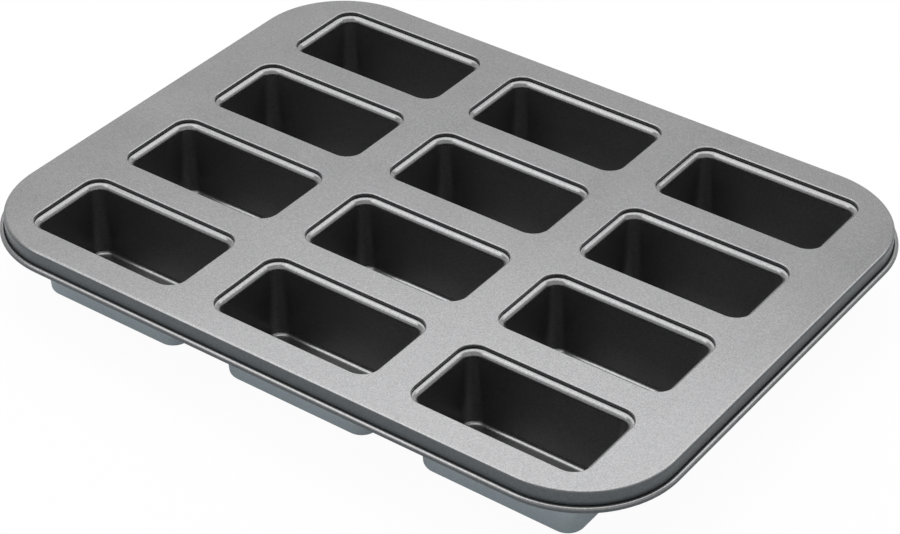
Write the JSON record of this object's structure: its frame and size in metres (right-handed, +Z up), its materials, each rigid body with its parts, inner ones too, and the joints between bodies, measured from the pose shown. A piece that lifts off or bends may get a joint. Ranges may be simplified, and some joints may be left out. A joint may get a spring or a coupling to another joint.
{
  "type": "mini loaf pan",
  "caption": "Rectangular non-stick baking pan for small loaves: straight-sided cups seamed into a flat top sheet with rounded corners and a rolled rim.",
  "frame": {"origin": "on the surface the pan stands on, under the middle of the top sheet", "axes": "+Z up; +X along the pan's longer side, which is also the length of each cup; -Y towards the long side at the picture's lower left"},
  "size_m": [0.339, 0.2612, 0.037],
  "materials": {
    "sheet_coating": "satin metallic-grey non-stick coating on steel sheet",
    "cup_coating": "satin dark-grey non-stick coating on steel sheet",
    "rim_wire": "bare drawn steel wire, hidden inside the rolled rim"
  },
  "bodies": {
    "root": {"top_sheet": "sheet_coating", "rim_wire": "rim_wire", "loaf_cup_r1_c1": "cup_coating", "loaf_cup_r1_c2": "cup_coating", "loaf_cup_r1_c3": "cup_coating", "loaf_cup_r2_c1": "cup_coating", "loaf_cup_r2_c2": "cup_coating", "loaf_cup_r2_c3": "cup_coating", "loaf_cup_r3_c1": "cup_coating", "loaf_cup_r3_c2": "cup_coating", "loaf_cup_r3_c3": "cup_coating", "loaf_cup_r4_c1": "cup_coating", "loaf_cup_r4_c2": "cup_coating", "loaf_cup_r4_c3": "cup_coating"}
  },
  "joints": []
}
